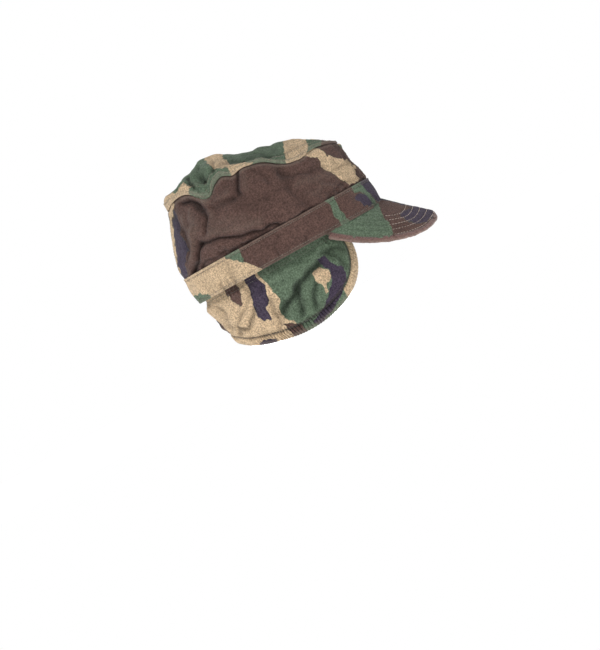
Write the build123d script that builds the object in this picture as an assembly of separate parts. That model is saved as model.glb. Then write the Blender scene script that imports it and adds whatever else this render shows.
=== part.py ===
from build123d import *

import os

# Soft field cap with a stiffened visor and one turn-down ear flap that goes round the nape.
#
# Frame: +X towards the visor, +Y towards the wearer's left, +Z up through the crown. The origin is the
# middle of the head opening, in the plane of the band's lower edge. The flap hangs below that plane,
# and goes up inside the band when it isn't needed. Cloth layers are thin closed shells that lie face
# to face. All sizes are in millimetres.

os.makedirs("parts", exist_ok=True)

# Head opening and band
BAND_SEMI_X = 105.0  # outside of the band, front to back; the head inside measures about 580 mm round
BAND_SEMI_Y = 86.0
BAND_HEIGHT = 28.0
BAND_CLOTH = 1.2  # the band is folded double
INTERLINING = 0.6
CLOTH = 1.0
LAYER_GAP = 0.1
SWEATBAND_LOW = 1.0
SWEATBAND_HIGH = 34.0

# Crown: ovals from the band up to the tilted seam of the top panel
SEAM_SEMI_X = 91.7
SEAM_SEMI_Y = 80.0
SEAM_CENTRE_X = 5.0
SEAM_CENTRE_Z = 86.0
SEAM_TILT = 6.9  # degrees, lower at the front
BELLY_SEMI_X = 101.0
BELLY_SEMI_Y = 87.0
BELLY_Z = 58.0
BELLY_TILT = 4.0
PUFF = 1.5  # the crown stands this far out over the band's upper edge
PUFF_RISE = 3.0
DOME_RISE = 30.0

# Visor: a patch of a cylinder that slopes down and forward from the band
VISOR_SLOPE = 42.0  # degrees
VISOR_ARCH_RADIUS = 96.0
VISOR_REACH = 57.5
VISOR_HALF_WIDTH = 80.0
VISOR_TUCK = 2.0  # how far the visor's inner margin reaches under the band
BOARD = 2.0
VISOR_BINDING = 2.5  # the width of the tape that closes the visor's edge
VISOR_ROLL = 4.0  # from the edge to the board

# Ear flap
FLAP_CLEARANCE = 0.5  # inside the sweatband and its label, which the flap passes on its way up
FLAP_SIDE_CLEARANCE = 4.0  # at the ears, where the crown closes in on the stowed flap
FLAP_FRONT_X = 58.0  # where the flap's front edge meets the band
FLAP_LOW_SEMI_X = 88.0
FLAP_LOW_SEMI_Y = 76.0
FLAP_LOW_CENTRE_X = 4.0
FLAP_LOW_Z = -76.0
FLAP_OUTLINE = [(-120, -48), (-86, -53), (-60, -66), (-22, -73), (11, -69.5), (46, -52), (60, -26)]
WADDING = 1.8
FLAP_EDGE = 9.0  # the rolled edge outside the line of stitching
ELASTIC_HEIGHT = 6.0
ELASTIC_THICK = 1.2
ELASTIC_FRONT_X = 12.0
ELASTIC_SEAT = 2.0  # from the flap's edge to the elastic

LABEL_WIDTH = 42.0
LABEL_HEIGHT = 20.0
LABEL_THICK = 0.4

SIDE = 200.0  # more than half of any piece, for cutting tools


def oval(semi_x, semi_y, height, centre_x=0.0, tilt=0.0):
    """A flat oval face, tilted about the crosswise axis so that its front goes down."""
    return Pos(centre_x, 0, height) * Rot(0, tilt, 0) * Ellipse(semi_x, semi_y)


def oval_ring(inset, thickness, low, high):
    """An upright oval ring whose outside lies inset from the outside of the band."""
    def prism(depth):
        face = oval(BAND_SEMI_X - depth, BAND_SEMI_Y - depth, low)
        return extrude(face, amount=high - low)

    return prism(inset) - prism(inset + thickness)


def inset_spline(points, inset):
    """A smooth edge through the points, moved to its left by inset."""
    edge = Spline(*points)
    if inset == 0:
        return edge
    moved = []
    for point in points:
        along = edge.tangent_at(edge.param_at_point(point))
        moved.append(Vector(*point) + inset * Vector(-along.Y, along.X))
    return Spline(*moved)


def save(name, shape):
    shape.label = name
    export_step(shape, f"parts/{name}.step")


def save_halves(name, shape):
    """Save the wearer's left and right halves, which are sewn together at the front and the back."""
    for side, sign in (("left", 1), ("right", -1)):
        half = shape & Pos(0, sign * SIDE / 2, 0) * Box(2 * SIDE, SIDE, 2 * SIDE)
        save(f"{name}_{side}", half)


# ---- band -------------------------------------------------------------------------------------

INTERLINING_INSET = BAND_CLOTH + LAYER_GAP
CROWN_INSET = INTERLINING_INSET + INTERLINING + LAYER_GAP
SWEATBAND_INSET = CROWN_INSET + CLOTH + LAYER_GAP
LABEL_INSET = SWEATBAND_INSET + CLOTH + LAYER_GAP
FLAP_INSET = LABEL_INSET + LABEL_THICK + FLAP_CLEARANCE


def outer_band():
    return oval_ring(0, BAND_CLOTH, 0, BAND_HEIGHT)


def band_interlining():
    margin = 1.5
    return oval_ring(INTERLINING_INSET, INTERLINING, margin, BAND_HEIGHT - margin)


def sweatband():
    return oval_ring(SWEATBAND_INSET, CLOTH, SWEATBAND_LOW, SWEATBAND_HIGH)


def care_label():
    """A blank label on the inside of the sweatband, at the back."""
    middle_z = (SWEATBAND_LOW + SWEATBAND_HIGH) / 2
    ring = oval_ring(LABEL_INSET, LABEL_THICK, middle_z - LABEL_HEIGHT / 2, middle_z + LABEL_HEIGHT / 2)
    return ring & Pos(-BAND_SEMI_X, 0, middle_z) * Box(BAND_SEMI_X, LABEL_WIDTH, LABEL_HEIGHT)


# ---- crown ------------------------------------------------------------------------------------


def crown_body(depth):
    """The filled crown up to the seam of the top panel, taken in by depth all round."""
    tucked = CROWN_INSET + depth
    puffed = CROWN_INSET - PUFF + depth
    margin = 2.0
    return loft(
        [
            oval(BAND_SEMI_X - tucked, BAND_SEMI_Y - tucked, margin),
            oval(BAND_SEMI_X - tucked, BAND_SEMI_Y - tucked, BAND_HEIGHT + LAYER_GAP),
            oval(BAND_SEMI_X - puffed, BAND_SEMI_Y - puffed, BAND_HEIGHT + PUFF_RISE),
            oval(BELLY_SEMI_X - depth, BELLY_SEMI_Y - depth, BELLY_Z, SEAM_CENTRE_X / 4, BELLY_TILT),
            oval(SEAM_SEMI_X - depth, SEAM_SEMI_Y - depth, SEAM_CENTRE_Z, SEAM_CENTRE_X, SEAM_TILT),
        ],
        ruled=True,
    )


def crown_wall():
    return crown_body(0) - crown_body(CLOTH)


def crown_top():
    """The domed top panel, standing on the upper edges of the two sides."""
    def dome(depth):
        return scale(Sphere(1), by=(SEAM_SEMI_X - depth, SEAM_SEMI_Y - depth, DOME_RISE - depth))

    shell = split(dome(0) - dome(CLOTH), bisect_by=Plane.XY, keep=Keep.TOP)
    return Pos(SEAM_CENTRE_X, 0, SEAM_CENTRE_Z) * Rot(0, SEAM_TILT, 0) * shell


# ---- visor ------------------------------------------------------------------------------------


def visor_outline(inset=0.0):
    """The visor laid flat: X is the way it slopes, and its rear is cut square, behind the band."""
    half, reach = VISOR_HALF_WIDTH, VISOR_REACH
    corner = [(-0.69 * reach, half), (0.22 * reach, 0.915 * half), (0.83 * reach, 0.655 * half)]
    points = [(x, -y) for x, y in corner] + [(reach, 0)] + corner[::-1]
    edge = inset_spline(points, inset)
    rear = Polyline(edge @ 1, (-reach, half), (-reach, -half), edge @ 0)
    return make_face([edge, rear])


def visor_layer(depth, thickness, inset=0.0):
    """One layer of the visor, depth under its upper face, cut to leave the band and the head free."""
    slope = Pos(BAND_SEMI_X, 0, 0) * Rot(0, VISOR_SLOPE, 0)

    def arch(deep):
        return Pos(0, 0, -VISOR_ARCH_RADIUS) * Rot(0, 90, 0) * Cylinder(VISOR_ARCH_RADIUS - deep, 2 * SIDE)

    prism = extrude(Pos(0, 0, -VISOR_ARCH_RADIUS) * visor_outline(inset), amount=2 * VISOR_ARCH_RADIUS)
    sheet = slope * ((arch(depth) - arch(depth + thickness)) & prism)
    clearance = 0.3
    band = extrude(
        oval(BAND_SEMI_X + clearance, BAND_SEMI_Y + clearance, -clearance), amount=BAND_HEIGHT + SIDE
    )
    head = extrude(
        oval(BAND_SEMI_X - VISOR_TUCK, BAND_SEMI_Y - VISOR_TUCK, -SIDE), amount=2 * SIDE
    )
    behind = Pos(-SIDE, 0, 0) * Box(2 * SIDE, 2 * SIDE, 2 * SIDE)
    return sheet - band - head - behind


VISOR_THICK = CLOTH + BOARD + CLOTH + 2 * LAYER_GAP


def visor_binding():
    """The rolled edge all round the free side of the visor."""
    return visor_layer(0, VISOR_THICK) - visor_layer(-CLOTH, VISOR_THICK + 2 * CLOTH, VISOR_BINDING)


# ---- ear flap ---------------------------------------------------------------------------------


def flap_outline(inset=0.0):
    """The flap seen from the side, as a face in the XZ plane: X forward, second coordinate up."""
    edge = inset_spline(FLAP_OUTLINE + [(FLAP_FRONT_X, 0)], inset)
    top = max(0.2, inset / 3)
    back, front = edge @ 0, edge @ 1
    rim = Polyline(front, (front.X, -top), (back.X, -top), back)
    return make_face([edge, rim])


def flap_body(depth):
    """The filled space inside the flap, taken in by depth all round."""
    top = FLAP_INSET + depth
    clearance = 0.3
    return loft(
        [
            oval(BAND_SEMI_X - top, BAND_SEMI_Y - top - FLAP_SIDE_CLEARANCE, -clearance),
            oval(FLAP_LOW_SEMI_X - depth, FLAP_LOW_SEMI_Y - depth, FLAP_LOW_Z, FLAP_LOW_CENTRE_X),
        ],
        ruled=True,
    )


def flap_prism(inset=0.0):
    face = Plane.XZ * flap_outline(inset)
    return extrude(face, amount=SIDE, both=True)


def flap_layer(depth, thickness, inset=0.0):
    return (flap_body(depth) - flap_body(depth + thickness)) & flap_prism(inset)


FLAP_FILL = WADDING + 2 * LAYER_GAP
ELASTIC_DEPTH = CLOTH + (FLAP_FILL - ELASTIC_THICK) / 2


def ear_flap_outer():
    """The outer cloth, with its edge turned in over the filling."""
    face = flap_layer(0, CLOTH)
    turned_edge = flap_layer(CLOTH, FLAP_FILL) - flap_prism(CLOTH)
    return face + turned_edge


def ear_flap_lining():
    return flap_layer(CLOTH + FLAP_FILL, CLOTH)


def ear_flap_wadding():
    return flap_layer(CLOTH + LAYER_GAP, WADDING, FLAP_EDGE)


def ear_flap_elastic():
    """The tape that gathers the lower edge round the nape, in one piece."""
    strip = flap_layer(ELASTIC_DEPTH, ELASTIC_THICK, ELASTIC_SEAT)
    strip = strip - flap_prism(ELASTIC_SEAT + ELASTIC_HEIGHT)
    behind = Pos(ELASTIC_FRONT_X - SIDE, 0, FLAP_LOW_Z) * Box(2 * SIDE, 2 * SIDE, -FLAP_LOW_Z)
    return strip & behind


def main():
    save("crown_top", crown_top())
    save_halves("crown_side", crown_wall())
    save("outer_band", outer_band())
    save("band_interlining", band_interlining())
    save("sweatband", sweatband())
    save("care_label", care_label())
    save("visor_upper_cover", visor_layer(0, CLOTH, VISOR_BINDING))
    save("visor_board", visor_layer(CLOTH + LAYER_GAP, BOARD, VISOR_ROLL))
    save("visor_lower_cover", visor_layer(VISOR_THICK - CLOTH, CLOTH, VISOR_BINDING))
    save("visor_binding", visor_binding())
    save_halves("ear_flap_outer", ear_flap_outer())
    save_halves("ear_flap_wadding", ear_flap_wadding())
    save_halves("ear_flap_lining", ear_flap_lining())
    save("ear_flap_elastic", ear_flap_elastic())


main()
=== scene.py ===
import math

import bmesh
import bpy
import numpy as np
from mathutils import Matrix, Vector


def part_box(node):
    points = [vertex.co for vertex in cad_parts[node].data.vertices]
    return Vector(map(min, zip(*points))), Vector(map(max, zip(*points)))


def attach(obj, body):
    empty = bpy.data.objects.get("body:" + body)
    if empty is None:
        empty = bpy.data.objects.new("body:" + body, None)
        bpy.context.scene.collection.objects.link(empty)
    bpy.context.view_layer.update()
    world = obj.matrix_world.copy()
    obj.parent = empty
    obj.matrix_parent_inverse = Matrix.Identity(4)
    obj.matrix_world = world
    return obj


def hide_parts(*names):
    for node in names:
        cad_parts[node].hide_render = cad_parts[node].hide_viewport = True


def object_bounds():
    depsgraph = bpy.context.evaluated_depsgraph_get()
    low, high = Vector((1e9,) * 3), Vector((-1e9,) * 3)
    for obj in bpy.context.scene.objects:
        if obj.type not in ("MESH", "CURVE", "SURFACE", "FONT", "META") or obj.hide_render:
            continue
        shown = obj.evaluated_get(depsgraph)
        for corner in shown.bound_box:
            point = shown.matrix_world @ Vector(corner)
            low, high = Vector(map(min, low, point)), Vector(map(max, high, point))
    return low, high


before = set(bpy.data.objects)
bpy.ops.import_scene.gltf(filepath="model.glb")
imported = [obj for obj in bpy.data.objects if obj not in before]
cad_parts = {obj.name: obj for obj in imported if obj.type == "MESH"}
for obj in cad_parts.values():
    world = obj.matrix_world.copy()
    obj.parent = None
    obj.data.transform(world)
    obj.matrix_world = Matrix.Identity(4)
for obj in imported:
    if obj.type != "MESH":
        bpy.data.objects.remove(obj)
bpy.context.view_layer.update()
mm = 0.001

# Lengths below are millimetres in the cap's own frame: x forward, y to the wearer's left, z up.
# Blotches, folds and seams of the right side are drawn as (x, z), as that side is seen square on.


def cadRing(node):
    low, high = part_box(node)
    return (high.x - low.x) / 2 / mm, (high.y - low.y) / 2 / mm, low.z / mm, high.z / mm


bandHalfX, bandHalfY, bandLow, bandHigh = cadRing("outer_band")


# small numeric tools

def smooth(a, b, x):
    t = np.clip((np.asarray(x, float) - a) / (b - a), 0, 1)
    return t * t * (3 - 2 * t)


def bell(x, width):
    return np.exp(-(np.asarray(x) / width) ** 2)


def curve(points, x):
    # a smooth line through given points, sorted by their first number
    px, py = np.array(sorted(points), float).T
    slope = np.gradient(py, px)
    i = np.clip(np.searchsorted(px, x) - 1, 0, len(px) - 2)
    h = px[i + 1] - px[i]
    t = np.clip((x - px[i]) / h, 0, 1)
    a, b = py[i], py[i + 1]
    cubic = (2 * t**3 - 3 * t**2 + 1) * a + (t**3 - 2 * t**2 + t) * h * slope[i]
    cubic = cubic + (3 * t**2 - 2 * t**3) * b + (t**3 - t**2) * h * slope[i + 1]
    return np.clip(cubic, np.minimum(a, b) - 0.6, np.maximum(a, b) + 0.6)


def spline(t, values, at):
    # a natural cubic spline through a few values
    n, h = len(t), np.diff(t)
    m = np.zeros((n, n))
    r = np.zeros(n)
    m[0, 0] = m[-1, -1] = 1
    for i in range(1, n - 1):
        m[i, i - 1:i + 2] = h[i - 1], 2 * (h[i - 1] + h[i]), h[i]
        r[i] = 6 * ((values[i + 1] - values[i]) / h[i] - (values[i] - values[i - 1]) / h[i - 1])
    bend = np.linalg.solve(m, r)
    i = np.clip(np.searchsorted(t, at) - 1, 0, n - 2)
    a, b = (t[i + 1] - at) / h[i], (at - t[i]) / h[i]
    cubic = ((a**3 - a) * bend[i] + (b**3 - b) * bend[i + 1]) * h[i] ** 2 / 6
    return a * values[i] + b * values[i + 1] + cubic


def toLine(p, line):
    # distance from each point of p to a chain of straight pieces
    best = np.full(p.shape[:-1], 1e9)
    for a, b in zip(np.array(line[:-1], float), np.array(line[1:], float)):
        d = b - a
        t = np.clip(((p - a) @ d) / max(d @ d, 1e-9), 0, 1)
        best = np.minimum(best, np.linalg.norm(p - a - t[..., None] * d, axis=-1))
    return best


def inside(p, outline):
    # signed distance to a closed outline, positive inside it
    ring = [*outline, outline[0]]
    odd = np.zeros(p.shape[:-1], bool)
    for (ax, az), (bx, bz) in zip(ring[:-1], ring[1:]):
        if az != bz:
            cross = ax + (p[..., 1] - az) * (bx - ax) / (bz - az)
            odd ^= ((az > p[..., 1]) != (bz > p[..., 1])) & (p[..., 0] < cross)
    return np.where(odd, 1, -1) * toLine(p, ring)


def ripple(p, size, seed, count=14):
    # an even, seeded unevenness of about that size, roughly from -1 to 1
    rng = np.random.default_rng(seed)
    total = np.zeros(p.shape[:-1])
    for _ in range(count):
        d = rng.normal(size=p.shape[-1])
        d *= rng.uniform(0.6, 1.5) / np.linalg.norm(d)
        total += np.sin(p @ d * 2 * math.pi / size + rng.uniform(0, 6.28))
    return total / math.sqrt(count) * 1.25


def normalsOf(grid, wrap):
    if wrap:
        du = np.roll(grid, -1, 1) - np.roll(grid, 1, 1)
    else:
        du = np.gradient(grid, axis=1)
    n = np.cross(du, np.gradient(grid, axis=0))
    return n / np.maximum(np.linalg.norm(n, axis=-1, keepdims=True), 1e-9)


def unit(v):
    return v / np.maximum(np.linalg.norm(v, axis=-1, keepdims=True), 1e-9)


# camouflage print

colours = {  # linear base colours of the four printing inks and the cloth's unprinted back
    "green": (0.097, 0.138, 0.090),
    "tan": (0.500, 0.370, 0.235),
    "brown": (0.087, 0.049, 0.040),
    "navy": (0.046, 0.034, 0.056),
    "back": (0.235, 0.215, 0.150),
}
inks = ("green", "tan", "brown", "navy")


def blotches(p3, seed):
    # the print where no blotch was drawn
    p3 = p3 + np.stack([ripple(p3, 11, 75 + i) + 0.4 * ripple(p3, 4, 78 + i) for i in range(3)], -1) * 0.9
    fields = {"green": np.full(p3.shape[:-1], 30.0)}
    fields["tan"] = (ripple(p3, 105, seed) - 0.55) * 22
    fields["brown"] = (ripple(p3, 120, seed + 1) - 0.12) * 24
    branch = (0.23 - np.abs(ripple(p3, 85, seed + 2))) * 26
    fields["navy"] = np.minimum(branch, (ripple(p3, 95, seed + 3) - 0.1) * 30)
    return over(fields)


def over(fields):
    # later inks cover earlier ones, and each field ends where a later one begins
    done = {k: np.array(v) for k, v in fields.items()}
    for i, ink in enumerate(inks):
        for later in inks[i + 1:]:
            done[ink] = np.minimum(done[ink], -fields[later])
    return done


def printed(p3, base, drawn, seed, handShare):
    # four signed distances: from the listed outlines where handShare is 1, by rule where it is 0
    flat = p3[..., [0, 2]]
    wobble = np.stack([ripple(p3, 9, 71), ripple(p3, 9, 72)], -1) * 0.5
    wobble += np.stack([ripple(p3, 3.4, 73), ripple(p3, 3.4, 74)], -1) * 0.22
    q = flat + wobble
    hand = {ink: np.full(p3.shape[:-1], 30.0 if ink == base else -30.0) for ink in inks}
    for ink, outline in drawn:
        d = inside(q, outline)
        for other in inks:
            hand[other] = np.maximum(hand[other], d) if other == ink else np.minimum(hand[other], -d)
    rule = blotches(p3, seed)
    return {ink: hand[ink] * handShare + rule[ink] * (1 - handShare) for ink in inks}


# cloth material

def mathNode(nt, op, a, b=None, c=None):
    n = nt.nodes.new("ShaderNodeMath")
    n.operation = op
    for socket, value in zip(n.inputs, (a, b, c)):
        if value is None:
            continue
        if isinstance(value, (int, float)):
            socket.default_value = value
        else:
            nt.links.new(value, socket)
    return n.outputs[0]


def mixNode(nt, factor, a, b, blend="MIX"):
    n = nt.nodes.new("ShaderNodeMix")
    n.data_type = "RGBA"
    n.blend_type = blend
    for i, value in ((0, factor), (6, a), (7, b)):
        if isinstance(value, (int, float)):
            n.inputs[i].default_value = value
        elif isinstance(value, tuple):
            n.inputs[i].default_value = (*value, 1)
        else:
            nt.links.new(value, n.inputs[i])
    return n.outputs[2]


def rangeNode(nt, value, low, high, toLow=0.0, toHigh=1.0):
    n = nt.nodes.new("ShaderNodeMapRange")
    nt.links.new(value, n.inputs[0])
    for i, v in enumerate((low, high, toLow, toHigh)):
        n.inputs[i + 1].default_value = v
    return n.outputs[0]


def noiseNode(nt, vector, scale, detail=2.0, rough=0.5):
    n = nt.nodes.new("ShaderNodeTexNoise")
    nt.links.new(vector, n.inputs["Vector"])
    n.inputs["Scale"].default_value = scale
    n.inputs["Detail"].default_value = detail
    n.inputs["Roughness"].default_value = rough
    return n.outputs[0]


def fieldNode(nt, name):
    n = nt.nodes.new("ShaderNodeAttribute")
    n.attribute_name = name
    return n.outputs["Fac"]


def newMaterial(name):
    mat = bpy.data.materials.new(name)
    mat.use_nodes = True
    nt = mat.node_tree
    shader = nt.nodes["Principled BSDF"]
    where = nt.nodes.new("ShaderNodeTexCoord")
    return mat, nt, shader, where


def weaveHeight(nt, where, pitch):
    # diagonal twill ribs crossed by single yarns, on the cloth's own flat coordinates in metres
    split = nt.nodes.new("ShaderNodeSeparateXYZ")
    nt.links.new(where.outputs["UV"], split.inputs[0])
    u, v = split.outputs[0], split.outputs[1]
    slow = noiseNode(nt, where.outputs["Object"], 260.0, 2.0)
    bend = mathNode(nt, "MULTIPLY", slow, 2.6)
    k = 2 * math.pi / pitch
    diagonal = mathNode(nt, "MULTIPLY", mathNode(nt, "ADD", u, v), k)
    rib = mathNode(nt, "SINE", mathNode(nt, "ADD", diagonal, bend))
    yarn = mathNode(nt, "SINE", mathNode(nt, "MULTIPLY", mathNode(nt, "SUBTRACT", u, v), k * 1.9))
    return mathNode(nt, "ADD", mathNode(nt, "MULTIPLY", rib, 0.6), mathNode(nt, "MULTIPLY", yarn, 0.4))


def finishCloth(nt, shader, where, colour, weave, bump, roughness=0.92, sheen=0.07):
    # yarn speckle, fade, painted shade in folds, seams and gaps, and wear with painted highlights on the
    # colour, then the weave's relief
    spots = where.outputs["Object"]
    speckle = rangeNode(nt, noiseNode(nt, spots, 620.0, 3.0, 0.75), 0.36, 0.64, 0.52, 1.48)
    fade = rangeNode(nt, noiseNode(nt, spots, 34.0, 4.0, 0.6), 0.25, 0.75, 0.88, 1.13)
    ribs = rangeNode(nt, weave, -1.0, 1.0, 0.86, 1.12)
    tone = mathNode(nt, "MULTIPLY", mathNode(nt, "MULTIPLY", speckle, fade), ribs)
    # painted shade: this field darkens the colour in folds, along seams, in gaps between parts and under
    # edges
    crease = rangeNode(nt, fieldNode(nt, "crease"), 0.0, 1.0, 1.0, 0.30)
    tone = mathNode(nt, "MULTIPLY", tone, crease)
    # paler on worn seams and edges, and a painted highlight on fold ridges and along the band's top edge
    wearAndHighlightMask = mathNode(nt, "MULTIPLY", fieldNode(nt, "wear"), noiseNode(nt, spots, 420.0, 3.0, 0.7))
    grey = nt.nodes.new("ShaderNodeCombineXYZ")
    for i in range(3):
        nt.links.new(tone, grey.inputs[i])
    done = mixNode(nt, 1.0, colour, grey.outputs[0], "MULTIPLY")
    done = mixNode(nt, mathNode(nt, "MULTIPLY", wearAndHighlightMask, 0.55), done, (0.42, 0.36, 0.29))
    nt.links.new(done, shader.inputs["Base Color"])
    rough = rangeNode(nt, weave, -1.0, 1.0, roughness - 0.05, min(roughness + 0.05, 1.0))
    nt.links.new(rough, shader.inputs["Roughness"])
    shader.inputs["Sheen Weight"].default_value = sheen
    shader.inputs["Sheen Roughness"].default_value = 0.5
    shader.inputs["Specular IOR Level"].default_value = 0.15
    fuzz = noiseNode(nt, spots, 1300.0, 3.0, 0.65)
    height = mathNode(nt, "ADD", mathNode(nt, "MULTIPLY", weave, 0.5), mathNode(nt, "MULTIPLY", fuzz, 1.3))
    relief = nt.nodes.new("ShaderNodeBump")
    relief.inputs["Strength"].default_value = 0.9
    relief.inputs["Distance"].default_value = bump
    nt.links.new(height, relief.inputs["Height"])
    nt.links.new(relief.outputs[0], shader.inputs["Normal"])


def camouflageCloth():
    mat, nt, shader, where = newMaterial("camouflageTwill")
    ragged = noiseNode(nt, where.outputs["Object"], 900.0, 3.0, 0.7)
    ragged = mathNode(nt, "MULTIPLY", mathNode(nt, "SUBTRACT", ragged, 0.5), 1.1)
    colour = mixNode(nt, 0.0, colours["green"], colours["green"])
    for ink in inks[1:]:
        edge = mathNode(nt, "ADD", fieldNode(nt, ink + "Ink"), ragged)
        colour = mixNode(nt, rangeNode(nt, edge, -0.3, 0.3), colour, colours[ink])
    pale = mathNode(nt, "MULTIPLY", fieldNode(nt, "back"), 0.62)
    colour = mixNode(nt, pale, colour, colours["back"])
    finishCloth(nt, shader, where, colour, weaveHeight(nt, where, 0.00095), 0.00028)
    return mat


def plainCloth(name, colour, pitch=0.0009, bump=0.0002, sheen=0.3, roughness=0.9):
    mat, nt, shader, where = newMaterial(name)
    patchy = rangeNode(nt, noiseNode(nt, where.outputs["Object"], 60.0, 3.0), 0.3, 0.7)
    deep = tuple(c * 0.82 for c in colour)
    mixed = mixNode(nt, patchy, deep, colour)
    finishCloth(nt, shader, where, mixed, weaveHeight(nt, where, pitch), bump, roughness, sheen)
    return mat


def boardSheet():
    mat, nt, shader, where = newMaterial("visorBoardSheet")
    grain = noiseNode(nt, where.outputs["Object"], 240.0, 4.0, 0.6)
    tone = mixNode(nt, rangeNode(nt, grain, 0.3, 0.7), (0.60, 0.57, 0.50), (0.74, 0.72, 0.66))
    nt.links.new(tone, shader.inputs["Base Color"])
    nt.links.new(rangeNode(nt, grain, 0.3, 0.7, 0.45, 0.6), shader.inputs["Roughness"])
    return mat


def threadMaterial(name, colour):
    mat, nt, shader, where = newMaterial(name)
    twist = nt.nodes.new("ShaderNodeTexWave")
    twist.bands_direction = "DIAGONAL"
    twist.inputs["Scale"].default_value = 900.0
    nt.links.new(where.outputs["Object"], twist.inputs["Vector"])
    fade = noiseNode(nt, where.outputs["Object"], 300.0, 2.0)
    tone = mixNode(nt, twist.outputs["Fac"], tuple(c * 0.62 for c in colour), colour)
    tone = mixNode(nt, rangeNode(nt, fade, 0.35, 0.7, 0.0, 0.5), tone, tuple(c * 0.5 for c in colour))
    nt.links.new(tone, shader.inputs["Base Color"])
    nt.links.new(rangeNode(nt, fade, 0.0, 1.0, 0.6, 0.8), shader.inputs["Roughness"])
    shader.inputs["Sheen Weight"].default_value = 0.3
    relief = nt.nodes.new("ShaderNodeBump")
    relief.inputs["Distance"].default_value = 0.00008
    nt.links.new(twist.outputs["Fac"], relief.inputs["Height"])
    nt.links.new(relief.outputs[0], shader.inputs["Normal"])
    return mat


camouflage = camouflageCloth()
liningCloth = plainCloth("brushedLining", (0.135, 0.140, 0.085), 0.0012, 0.0003)
canvas = plainCloth("stiffCanvas", (0.60, 0.57, 0.50), 0.0014)
fibre = plainCloth("needledFibre", (0.74, 0.72, 0.66), 0.003, 0.0005)
elasticTape = plainCloth("ribbedElastic", (0.68, 0.66, 0.60), 0.0016)
labelTape = plainCloth("wovenLabel", (0.55, 0.52, 0.43), 0.0006, 0.00012)
board = boardSheet()
print("materials made")


# meshes from grids of points

def makeMesh(name, points, faces, flatUv, fields, material):
    points = np.asarray(points, float)
    quads = np.array([f if len(f) == 4 else (f[0], f[1], f[2], f[2]) for f in faces if len(f) <= 4])
    a, b, c, d = (points[quads[:, i]] for i in range(4))
    volume = (a * np.cross(b, c)).sum() + (a * np.cross(c, d)).sum()
    if volume < 0:
        faces = [tuple(reversed(f)) for f in faces]
    mesh = bpy.data.meshes.new(name)
    mesh.from_pydata((points * mm).tolist(), [], faces)
    mesh.validate()
    uv = mesh.uv_layers.new(name="cloth")
    loops = np.zeros(len(mesh.loops), np.int64)
    mesh.loops.foreach_get("vertex_index", loops)
    uv.data.foreach_set("uv", (flatUv[loops] * mm).astype(np.float32).ravel())
    for key, values in fields.items():
        layer = mesh.attributes.new(key, "FLOAT", "POINT")
        layer.data.foreach_set("value", np.asarray(values, np.float32).ravel())
    mesh.materials.append(material)
    mesh.polygons.foreach_set("use_smooth", [True] * len(mesh.polygons))
    mesh.set_sharp_from_angle(angle=math.radians(62))
    obj = bpy.data.objects.new(name, mesh)
    bpy.context.scene.collection.objects.link(obj)
    return obj


def shell(name, outer, inner, material, wrap=False, fields=None, uv=None, rim=3):
    # a closed sheet between two grids of points, with rounded rims along its first and last rows
    rows, cols = outer.shape[:2]
    turn = np.linspace(0, math.pi, rim + 2)[1:-1]

    def roundRim(o, i, beyond):
        middle, half = (o + i) / 2, (o - i) / 2
        reach = np.linalg.norm(half, axis=-1, keepdims=True)
        return [middle + half * math.cos(t) + beyond * reach * math.sin(t) for t in turn]

    top = roundRim(outer[-1], inner[-1], unit(outer[-1] - outer[-3]))
    low = roundRim(inner[0], outer[0], unit(outer[0] - outer[2]))
    sheet = np.concatenate([outer, np.array(top), inner[::-1], np.array(low)])
    total = len(sheet)
    share = np.concatenate([np.zeros(rows), np.full(rim, 0.5), np.ones(rows), np.full(rim, 0.5)])
    climb = np.arange(rows)
    source = np.concatenate([climb, np.full(rim, rows - 1), climb[::-1], np.zeros(rim, int)])
    near = {"back": np.repeat((share > 0.75).astype(float)[:, None], cols, 1)}
    for key, value in (fields or {}).items():
        near[key] = value[source]
        # the painted shade and the wear with its painted highlights are kept off the rims and the back of the
        # cloth
        if key in ("crease", "wear"):
            near[key] = near[key] * (1 - share[:, None])
    for key in ("crease", "wear"):
        near.setdefault(key, np.zeros((total, cols)))
    index = np.arange(total * cols).reshape(total, cols)
    left = index if wrap else index[:, :-1]
    right = np.roll(index, -1, 1) if wrap else index[:, 1:]
    up = np.roll(np.arange(total), -1)
    quads = np.stack([left, right, right[up], left[up]], -1).reshape(-1, 4).tolist()
    if not wrap:
        for column, flip in ((0, True), (cols - 1, False)):
            side = index[:, column]
            outerIds, topIds = side[:rows], side[rows:rows + rim]
            innerIds, lowIds = side[rows + rim:rows + rim + rows][::-1], side[rows + rim + rows:]
            caps = [(outerIds[i], innerIds[i], innerIds[i + 1], outerIds[i + 1]) for i in range(rows - 1)]
            caps.append((outerIds[-1], innerIds[-1], *topIds[::-1]))
            caps.append((innerIds[0], outerIds[0], *lowIds[::-1]))
            quads += [tuple(int(x) for x in (reversed(c) if flip else c)) for c in caps]
    if uv is None:
        step = np.linalg.norm(np.diff(outer, axis=1, append=outer[:, -1:]), axis=-1)
        rise = np.linalg.norm(np.diff(outer, axis=0, append=outer[-1:]), axis=-1)
        uv = np.stack([np.cumsum(step, 1) - step, np.cumsum(rise, 0) - rise], -1)
    flatUv = uv[source].reshape(-1, 2)
    faces = [tuple(int(x) for x in q) for q in quads]
    near = {key: value.ravel() for key, value in near.items()}
    return makeMesh(name, sheet.reshape(-1, 3), faces, flatUv, near, material)


def inkFields(fields):
    return {ink + "Ink": fields[ink] for ink in inks[1:]}


def foldDepth(p3, folds):
    # how far drawn folds push the cloth in: (line, width, depth), where a negative depth is a ridge
    flat = p3[..., [0, 2]]
    warp = np.stack([ripple(p3, 22, 81), ripple(p3, 22, 82)], -1) * 1.0
    depth = np.zeros(p3.shape[:-1])
    for line, width, push in folds:
        away = toLine(flat + warp, line)
        depth += push * (0.75 * bell(away, width) + 0.55 * np.exp(-away / (0.55 * width)))
    return depth


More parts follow.
